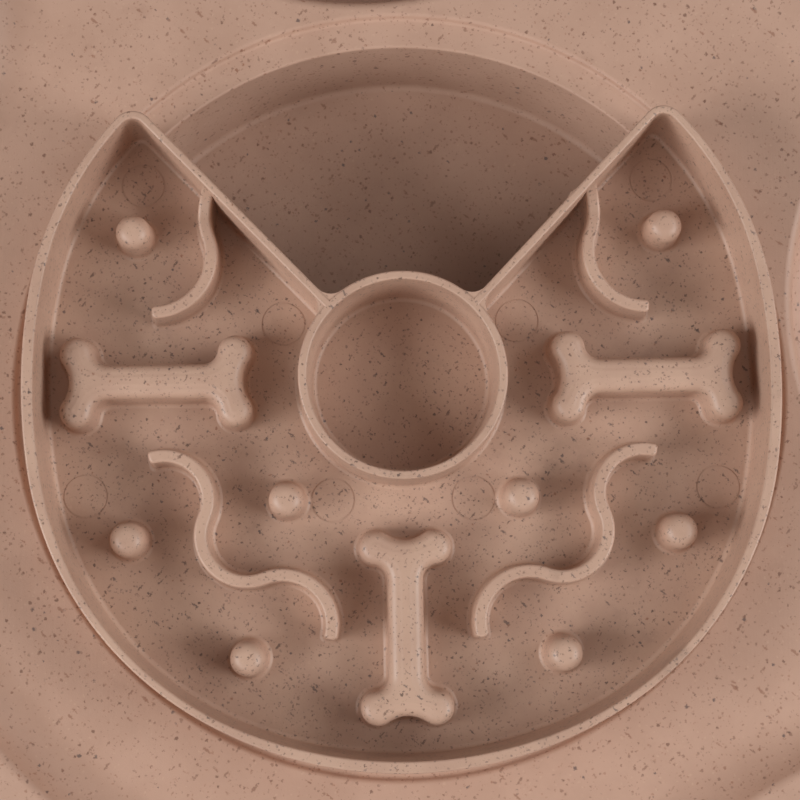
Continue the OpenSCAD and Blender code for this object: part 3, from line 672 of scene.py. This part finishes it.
def boss(place):
    """Boss and rib of one foot."""
    top = DECK_H - SHELL_T / 2
    wall = BOSS_INSET + LIP_W - SHELL_T / 2
    steep = math.tan(math.radians(SKIRT_DRAFT))
    post = stack("boss", circles(FRONT), [(BOSS_R, PAD_H), (BOSS_R, top)])
    low = PAD_H + LAP
    section = [(0, low), (wall + (LIP_TOP - LIP_EDGE_R - low) * steep, low),
               (wall + (LIP_TOP - LIP_EDGE_R - top) * steep, top), (0, top)]
    half = BOSS_RIB_T / 2
    rib = loft("boss_rib", [[(x, y, z) for x, z in section] for y in (-half, half)])
    return moved([post, rib], place)


def socket(place):
    profile = [(SOCKET_R, PAD_H - LAP), (SOCKET_R, PAD_H + SOCKET_L)]
    return moved([stack("socket", circles(FRONT), profile)], place)


def make_tray():
    crest = offsets(crest_path())
    hollow = stack("tray_hollow", crest, under_lip_profile())
    cut(hollow, [front_well_outside(), rear_well_outside(RIGHT), rear_well_outside(LEFT)])
    tray = cut(stack("tray_shell", crest, lip_profile()), [hollow])
    places = foot_places().values()
    join(tray, [part for place in places for part in boss(place)])
    cut(tray, [front_well_hollow(), rear_well_hollow(RIGHT), rear_well_hollow(LEFT)])
    return cut(tray, [part for place in places for part in socket(place)])


def make_foot(name, place):
    """Rubber foot: a pad, hollow in the middle below and round at its edge, and a bevelled stem."""
    edge = arc((PAD_R - PAD_EDGE_R, PAD_EDGE_R), PAD_EDGE_R, -90, 0, ROUND_STEPS)
    bevel = PAD_EDGE_R / 2
    stem_top = PAD_H + STEM_L
    profile = [Vector((PAD_R / 2, bevel / 2)), Vector((PAD_R / 2 + bevel / 2, 0))] + edge
    profile += [Vector((PAD_R, PAD_H - bevel)), Vector((PAD_R - bevel, PAD_H))]
    profile += [Vector((STEM_R, PAD_H)), Vector((STEM_R, stem_top - bevel))]
    profile.append(Vector((STEM_R - bevel, stem_top)))
    return moved([stack(name + "_rubber", circles(FRONT), profile)], place)[0]


def arc_centres(arcs):
    half_w, end_l, side_r, corner_r, end_r = arcs
    side = Vector((half_w - side_r, 0.0))
    end = Vector((0.0, end_r - end_l))
    return side, meet(side, side_r - corner_r, end, end_r - corner_r), end


def insert_path(arcs):
    """Closed outline of the insert, counterclockwise from the middle of its closed end."""
    side_r, corner_r, end_r = arcs[2:]
    side, corner, end = arc_centres(arcs)
    side_turn = heading(corner - side)
    end_turn = heading(corner - end)
    right = stations(end, end_r, -90, end_turn, 1)
    right += stations(corner, corner_r, end_turn, side_turn, 1)
    right += stations(side, side_r, side_turn, -side_turn, 1)
    right += stations(flipped(-corner), corner_r, -side_turn, 90, 1)
    return right + [(flipped(p), flipped(out)) for p, out in reversed(right[1:])]


VEE_DIR = along(90 - VEE_HALF)
VEE_SIDE = along(-VEE_HALF)
VEE_FOOT = VEE_T / 2 + WALL_H * math.tan(math.radians(WALL_DRAFT))
UPPER_CORNER = flipped(-arc_centres(OUTER_ARCS)[1])
HORN_LINE = VEE_AT + (HORN_R - VEE_T / 2) * VEE_SIDE
HORN_AT = HORN_LINE + reach(HORN_LINE, VEE_DIR, UPPER_CORNER, OUTER_ARCS[3] - HORN_R) * VEE_DIR
HORN_TURN = heading(HORN_AT - UPPER_CORNER)
HORN_S = (HORN_AT - VEE_AT).dot(VEE_DIR)
CUP_FOOT_R = CUP_R + WALL_H * math.tan(math.radians(WALL_DRAFT))
BEYOND = 2 * OUTER_ARCS[0]


def rim_profile():
    edge = arc((-RIM_EDGE_R, INSERT_H - RIM_EDGE_R), RIM_EDGE_R, 0, 90, ROUND_STEPS)
    return [Vector((0, 0))] + edge


def maze_profile():
    """The pocket inside the rim, from its floor up through its mouth."""
    tilt = math.radians(WALL_DRAFT)
    low_z = FLOOR_T + FOOT_R
    low_x = -(INSERT_H - low_z) * math.tan(tilt) - FOOT_R / math.cos(tilt)
    points = arc((low_x, low_z), FOOT_R, -90, -WALL_DRAFT, ROUND_STEPS)
    points += reversed(mouth_profile(0, INSERT_H, WALL_DRAFT, RIM_EDGE_R))
    return points + [Vector((RIM_EDGE_R, INSERT_H + LAP))]


def notch_cutter():
    """All that the notch takes out of the rim and the floor, as far as the middles of its walls."""
    right = [VEE_AT + HORN_S * VEE_DIR, HORN_AT, HORN_AT + BEYOND * along(HORN_TURN)]
    points = [VEE_AT] + right + [flipped(p) for p in reversed(right)]
    return prism("notch_cutter", points, -LAP, INSERT_H + LAP)


def wedge_cutter():
    points = [VEE_AT, VEE_AT + BEYOND * VEE_DIR, flipped(VEE_AT + BEYOND * VEE_DIR)]
    return prism("wedge_cutter", points, -LAP, INSERT_H + LAP)


def vee_section():
    """Section of a straight wall of the notch: x runs towards the notch from the wall's middle."""
    inner = edge_profile(WALL_H, RIM_EDGE_R, WALL_DRAFT, ROUND_STEPS)[1:]
    points = [(-VEE_FOOT - FOOT_R, 0.0)] + [(-VEE_FOOT - p.x, p.y + FLOOR_T) for p in inner]
    face = VEE_T / 2
    edge = arc((face - RIM_EDGE_R, INSERT_H - RIM_EDGE_R), RIM_EDGE_R, 90, 0, ROUND_STEPS)
    return points + [tuple(p) for p in edge] + [(face, 0.0)]


def notch_wall():
    """Straight wall that runs from the cup and turns through its horn into the rim."""
    start = CUP_R - CUP_WALL_T / 2
    path = [(VEE_AT + s * VEE_DIR, -VEE_SIDE) for s in (start, (start + HORN_S) / 2)]
    steps = 4 * ROUND_STEPS
    for i in range(steps + 1):
        out = along(180 - VEE_HALF + (HORN_TURN - 180 + VEE_HALF) * i / steps)
        path.append((HORN_AT + (HORN_R - VEE_T / 2) * out, out))
    fill = [HORN_AT] + [p for p, out in path[2:]]
    return [sweep("notch_wall", path, vee_section()), prism("horn_floor", fill, 0, FLOOR_T - SINK)]


def cup_webs():
    """Concave webs in the corners between the cup and the two faces of a straight wall."""
    cup = Vector(((CUP_AT - VEE_AT).dot(VEE_DIR), -(CUP_AT - VEE_AT).dot(VEE_SIDE)))
    webs = []
    for side, bottom in ((1, 0.0), (-1, FLOOR_T - LAP)):
        y = side * (VEE_T / 2 + WEB_R - SINK)
        x = cup.x + math.sqrt((CUP_R + WEB_R - SINK) ** 2 - (y - cup.y) ** 2)
        centre = Vector((x, y))
        start, stop = heading(cup - centre), -90 * side
        if side > 0 and start > 0:
            start -= 360
        if side < 0 and start < 0:
            start += 360
        points = [cup] + arc(centre, WEB_R, start, stop, 2 * ROUND_STEPS) + [Vector((x, 0))]
        plan = [VEE_AT + p.x * VEE_DIR - p.y * VEE_SIDE for p in points]
        webs.append(prism("cup_web", plan, bottom, INSERT_H - RIM_EDGE_R / 2))
    return webs


def peg(place):
    profile = edge_profile(MAZE_H, PEG_ROUND, PEG_DRAFT, 2 * ROUND_STEPS)
    tip = [Vector((PEG_TIP_R - PEG_R, MAZE_H + PEG_CROWN_H))]
    return stack("peg", circles(Vector(place), PEG_R), lifted(profile + tip, FLOOR_T))


def bone_outline(x):
    """Outline of a bone along x, moved out by x: four knobs, blends to the shank, hollow ends."""
    knob = Vector((BONE_KNOB_L, BONE_KNOB_W))
    drop = BONE_KNOB_W - SHANK_W / 2 - SHANK_BLEND_R
    blend = Vector((BONE_KNOB_L - math.sqrt((KNOB_R + SHANK_BLEND_R) ** 2 - drop ** 2),
                    SHANK_W / 2 + SHANK_BLEND_R))
    end = Vector((BONE_KNOB_L + math.sqrt((KNOB_R + BONE_END_R) ** 2 - BONE_KNOB_W ** 2), 0))
    from_end = heading(knob - end)
    from_blend = heading(knob - blend)
    quarter = arc(end, BONE_END_R - x, 180, from_end, ROUND_STEPS)
    quarter += arc(knob, KNOB_R + x, from_end - 180, from_blend + 180, 3 * ROUND_STEPS)[1:]
    quarter += arc(blend, SHANK_BLEND_R - x, from_blend, -90, ROUND_STEPS)[1:]
    half = quarter + [flipped(p) for p in reversed(quarter)]
    return half + [Vector((p.x, -p.y)) for p in reversed(half[1:-1])]


def bone(place, turn):
    profile = edge_profile(MAZE_H, BONE_ROUND, BONE_DRAFT, 2 * ROUND_STEPS)
    last = profile[-1].x
    profile += [Vector((last - CROWN_W * inset, MAZE_H + CROWN_H * rise))
                for inset, rise in CROWN_STEPS]
    solid = stack("bone", bone_outline, lifted(profile, FLOOR_T))
    shift = Matrix.Translation((*place, 0)) @ Matrix.Rotation(math.radians(turn), 4, "Z")
    return moved([solid], shift)[0]


def spine(start, turn, bends):
    """Middle line of a wave as points with the direction to their left."""
    p = Vector(start)
    points = []
    for radius, bend in bends:
        side = 1 if bend > 0 else -1
        centre = p + side * radius * along(turn + 90)
        steps = max(FEWEST_BEND_STEPS, round(math.radians(abs(bend)) * radius / (STATION_L / 2)))
        for i in range(steps + 1):
            out = turn + bend * i / steps + 90
            if i or not points:
                points.append((centre - side * radius * along(out), along(out)))
        p = points[-1][0]
        turn += bend
    return points


def wave_outline(points, half_w):
    """Outline of a wave moved out by x, with square ends whose corners are rounded."""
    def end(p, left, w, length, corner):
        ahead = Vector((left.y, -left.x))
        corners = []
        for side, start, stop in ((-1, -90, 0), (1, 0, 90)):
            middle = Vector((length - corner, side * (w - corner)))
            corners += arc(middle, corner, start, stop, ROUND_STEPS)
        return [p + ahead * q.x + left * q.y for q in corners]

    def outline(x):
        w = half_w + x
        length = WAVE_END_L + x
        corner = min(WAVE_END_R + x / 2, WAVE_CORNER_SHARE * w, WAVE_CORNER_SHARE * length)
        right = [p - left * w for p, left in points[1:-1]]
        ahead = end(*points[-1], w, length, corner)
        behind = end(points[0][0], -points[0][1], w, length, corner)
        return right + ahead + [p + left * w for p, left in reversed(points[1:-1])] + behind
    return outline


WAVE_FOOT = WAVE_W / 2 + MAZE_H * math.tan(math.radians(WAVE_DRAFT))


def wave(points):
    profile = edge_profile(MAZE_H, WAVE_ROUND, WAVE_DRAFT, ROUND_STEPS)
    return stack("wave", wave_outline(points, WAVE_FOOT), lifted(profile, FLOOR_T))


def wave_ramp(points):
    """The short wave's climb from the maze's height to the rim, where it meets the notch's wall."""
    climb = WALL_H - MAZE_H
    rings = []
    for p, left in points:
        away = (p - VEE_AT).dot(VEE_SIDE) - VEE_T / 2
        if away > climb * RAMP_RUN_SHARE:
            break
        run = max(away, 0.0)
        drop = math.sqrt(climb ** 2 - (climb - run) ** 2) * RAMP_DROP_SHARE
        height = max(WALL_H - RIM_EDGE_R - drop, MAZE_H - SINK)
        half = edge_profile(height, WAVE_ROUND, WAVE_DRAFT, ROUND_STEPS)
        section = [(-WAVE_FOOT - q.x, q.y + FLOOR_T) for q in half]
        section += [(-x, z) for x, z in reversed(section)]
        rings.append([(*(p + left * x), z) for x, z in section])
    return loft("wave_ramp", rings)


def long_wave():
    return [wave(spine(LONG_WAVE_AT, LONG_WAVE_HEADING, LONG_WAVE_BENDS))]


def short_wave():
    start = VEE_AT + SHORT_WAVE_ALONG * VEE_DIR + VEE_T / 4 * VEE_SIDE
    points = spine(start, SHORT_WAVE_HEADING, SHORT_WAVE_BENDS)
    return [wave(points), wave_ramp(points)]


def ring_mark(place):
    section = [(MARK_R - MARK_W, -MARK_D), (MARK_R, -MARK_D), (MARK_R, LAP), (MARK_R - MARK_W, LAP)]
    turns = [360 * i / FINE_RING for i in range(FINE_RING)]
    rings = [[(*(Vector(place) + x * along(a)), FLOOR_T + z) for x, z in section] for a in turns]
    return loft("ring_mark", rings, closed=True)


def maze_side():
    pegs = [peg(place) for place in PEG_PLACES]
    return notch_wall() + cup_webs() + pegs + long_wave() + short_wave() + [bone(SIDE_BONE_AT, 0)]


def cup_foot():
    """Fillet round the cup on the maze floor, on the maze's side of the notch."""
    tilt = math.radians(WALL_DRAFT)
    low = (CUP_FOOT_R + FOOT_R - (FOOT_R - SINK) * math.sin(tilt), FLOOR_T + FOOT_R - SINK)
    points = [Vector((low[0], FLOOR_T - LAP))]
    points += arc(low, FOOT_R, 270, 180 + WALL_DRAFT, ROUND_STEPS)
    points.append(Vector((CUP_R - CUP_WALL_T / 2, FLOOR_T + FOOT_R)))
    return cut(stack("cup_foot", wide(CUP_AT), points), [wedge_cutter()])


def cup_body():
    base_z = -CUP_DROP - FLOOR_T
    base_r = CUP_R + (INSERT_H - base_z) * math.tan(math.radians(WALL_DRAFT))
    edge = arc((CUP_R - RIM_EDGE_R, INSERT_H - RIM_EDGE_R), RIM_EDGE_R, WALL_DRAFT, 90, ROUND_STEPS)
    return stack("cup_body", wide(CUP_AT), [Vector((base_r, base_z))] + edge)


def cup_hollow():
    top_r = CUP_R - CUP_WALL_T
    mouth = mouth_profile(top_r, INSERT_H, CUP_DRAFT, RIM_EDGE_R)
    profile = [Vector((mouth[0].x, INSERT_H + LAP))] + mouth
    profile += pocket_profile(top_r, INSERT_H, -CUP_DROP, CUP_DRAFT, CUP_FILLET, 0)
    return stack("cup_hollow", wide(CUP_AT), profile)


def make_insert():
    dish = stack("insert_dish", offsets(insert_path(OUTER_ARCS)), rim_profile())
    pocket = stack("maze_pocket", offsets(insert_path(POCKET_ARCS)), maze_profile())
    cut(dish, [pocket, notch_cutter()])
    cut(dish, both_sides(lambda: [ring_mark(place) for place in MARK_PLACES]))
    join(dish, both_sides(maze_side) + [bone(END_BONE_AT, 90), cup_foot(), cup_body()])
    return cut(dish, [cup_hollow()])


def shade(solid, material, place):
    """Moves a finished solid into the frame, gives it its material and smooths its shading."""
    solid.data.transform(place)
    dress(solid, material)
    mesh = solid.data
    mesh.polygons.foreach_set("use_smooth", [True] * len(mesh.polygons))
    mesh.set_sharp_from_angle(angle=math.radians(SHARP_ANGLE))
    weighted = solid.modifiers.new("weighted_normals", "WEIGHTED_NORMAL")
    weighted.keep_sharp = True
    bake(solid)


def stand_in(solid, name, node, body, material, place):
    """Finishes a solid and lets it stand for a node of the construction."""
    solid.name = name
    shade(solid, material, place)
    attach(solid, body)
    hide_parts(node)


TRAY_PLACE = Matrix.Scale(MM, 4) @ Matrix.Translation((0, FRONT_Y, 0))
INSERT_PLACE = (Matrix.Scale(MM, 4) @ Matrix.Translation((0, FRONT_Y, LEDGE_Z))
                @ Matrix.Rotation(math.radians(INSERT_TURN), 4, "Z")
                @ Matrix.Translation((0, INSERT_SLIP, 0)))

stand_in(make_tray(), "tray_shell", "tray", "tray_base", tray_plastic, TRAY_PLACE)
stand_in(make_insert(), "maze_insert", "slow_feed_insert", "insert", insert_plastic, INSERT_PLACE)
for foot_name, foot_place in foot_places().items():
    foot = make_foot(foot_name, foot_place)
    stand_in(foot, foot_name + "_rubber", foot_name, "tray_base", foot_rubber, TRAY_PLACE)


def photo_direction(x, y, z):
    """A direction given as right, up in the photograph and up from the table, in the row frame."""
    return Matrix.Rotation(PHOTO_TURN, 3, "Z") @ Vector((x, y, z))


def add_camera():
    """Camera at the photograph's viewing angle, with the point below it where the photo has it."""
    centre = IMAGE_PX / 2
    nadir_x, nadir_y = NADIR_PX
    down = Vector(((nadir_x - centre) / FOCAL_PX, (centre - nadir_y) / FOCAL_PX, -1)).normalized()
    up_row = -down
    right_row = (Vector((1, 0, 0)) - up_row * up_row.x).normalized()
    photo = Matrix((right_row, up_row.cross(right_row), up_row))
    turn = Matrix.Rotation(PHOTO_TURN, 3, "Z")
    data = bpy.data.cameras.new("photo_camera")
    data.sensor_width = SENSOR_MM
    data.lens = FOCAL_PX / IMAGE_PX * SENSOR_MM
    data.clip_start = CLIP_START
    camera = bpy.data.objects.new("photo_camera", data)
    place = FRONT_WELL + photo_direction(*CAMERA_OFFSET)
    camera.matrix_world = Matrix.Translation(place) @ (turn @ photo).to_4x4()
    bpy.context.collection.objects.link(camera)
    bpy.context.scene.camera = camera


# Studio: colours, how bright the room and the backdrop are, and sizes in metres
LAMP_TINT = (1.0, 0.995, 0.985)
ROOM_TINT = (1.0, 0.74, 0.60)
PAPER_WHITE = (0.96, 0.95, 0.94)
ROOM_LEVEL = 0.13
BACKDROP_LEVEL = 0.6
FLOOR_LIFT = 0.28
FLOOR_HALF = 20.0
SOFT_BOX_SIZE = 0.55
SOFT_BOX_DISTANCE = 1.3
FLOOR_COLOUR = linear(200, 197, 193)
FLOOR_ROUGHNESS = 0.8

# Soft boxes: direction in the photograph and height above the table in degrees, and watts
SOFT_BOXES = {"left_soft_box": (195, 30, 10.0), "right_soft_box": (345, 30, 8.8),
              "near_soft_box": (225, 35, 3.0), "far_soft_box": (20, 40, 3.0)}


def add_floor():
    """A wide pale floor. What the camera sees of it is lifted a little, to stay pale far away."""
    corners = [(-1, -1), (1, -1), (1, 1), (-1, 1)]
    mesh = bpy.data.meshes.new("studio_floor")
    mesh.from_pydata([(x * FLOOR_HALF, y * FLOOR_HALF, 0) for x, y in corners], [], [(0, 1, 2, 3)])
    floor = bpy.data.objects.new("studio_floor", mesh)
    bpy.context.collection.objects.link(floor)
    n = Nodes("studio_floor_paper")
    n.put(n.shader.inputs["Base Color"], FLOOR_COLOUR)
    n.put(n.shader.inputs["Roughness"], FLOOR_ROUGHNESS)
    n.put(n.shader.inputs["Emission Color"], (*PAPER_WHITE, 1.0))
    seen = n.add("ShaderNodeLightPath").outputs["Is Camera Ray"]
    n.put(n.shader.inputs["Emission Strength"], n.math("MULTIPLY", seen, FLOOR_LIFT))
    mesh.materials.append(n.material)


def add_area_light(name, photo_angle, elevation, watts):
    """A square soft box that looks at the insert, placed by its direction in the photograph."""
    around, up = math.radians(photo_angle), math.radians(elevation)
    level = math.cos(up)
    toward = photo_direction(math.cos(around) * level, math.sin(around) * level, math.sin(up))
    data = bpy.data.lights.new(name, "AREA")
    data.shape = "SQUARE"
    data.size = SOFT_BOX_SIZE
    data.energy = watts
    data.color = LAMP_TINT
    light = bpy.data.objects.new(name, data)
    turn = toward.to_track_quat("Z", "Y").to_matrix().to_4x4()
    light.matrix_world = Matrix.Translation(FRONT_WELL + toward * SOFT_BOX_DISTANCE) @ turn
    bpy.context.collection.objects.link(light)


def add_world():
    """A dim warm room for the light, and a pale one for what the camera and reflections see."""
    world = bpy.data.worlds.new("studio_world")
    bpy.context.scene.world = world
    world.use_nodes = True
    nodes, links = world.node_tree.nodes, world.node_tree.links
    room = nodes["Background"]
    room.inputs["Color"].default_value = (*ROOM_TINT, 1.0)
    room.inputs["Strength"].default_value = ROOM_LEVEL
    backdrop = nodes.new("ShaderNodeBackground")
    backdrop.inputs["Color"].default_value = (*PAPER_WHITE, 1.0)
    backdrop.inputs["Strength"].default_value = BACKDROP_LEVEL
    rays = nodes.new("ShaderNodeLightPath")
    seen = rays.outputs["Is Camera Ray"]
    for kind in ("Is Glossy Ray", "Is Transmission Ray"):
        either = nodes.new("ShaderNodeMath")
        either.operation = "MAXIMUM"
        links.new(seen, either.inputs[0])
        links.new(rays.outputs[kind], either.inputs[1])
        seen = either.outputs[0]
    mix = nodes.new("ShaderNodeMixShader")
    links.new(seen, mix.inputs[0])
    links.new(room.outputs[0], mix.inputs[1])
    links.new(backdrop.outputs[0], mix.inputs[2])
    links.new(mix.outputs[0], nodes["World Output"].inputs["Surface"])


add_camera()
add_floor()
for box_name, box in SOFT_BOXES.items():
    add_area_light(box_name, *box)
add_world()
bpy.context.scene.view_settings.view_transform = "Standard"
